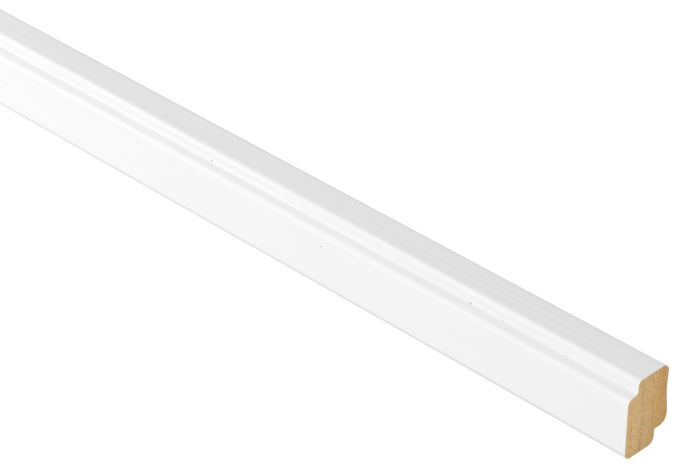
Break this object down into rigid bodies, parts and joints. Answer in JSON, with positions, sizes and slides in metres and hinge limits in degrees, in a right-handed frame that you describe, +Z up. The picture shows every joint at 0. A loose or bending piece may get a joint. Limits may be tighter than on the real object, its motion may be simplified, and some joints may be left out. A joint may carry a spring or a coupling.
{
  "type": "shadow moulding",
  "caption": "White-painted pine shadow moulding with a stepped ledge along the top front edge, a rebate along the lower back edge and square-cut bare ends.",
  "frame": {"origin": "on the surface that the underside rests on, at the middle of the length and of the depth", "axes": "+X along the length towards the sawn end that the picture shows, +Y from the front face to the back, +Z up from the underside to the top face"},
  "size_m": [0.36, 0.021, 0.03],
  "materials": {
    "painted_pine": "satin white factory paint on every long face, over planed pine; both sawn ends show bare end grain"
  },
  "bodies": {
    "root": {"shadow_moulding": "painted_pine"}
  },
  "joints": []
}
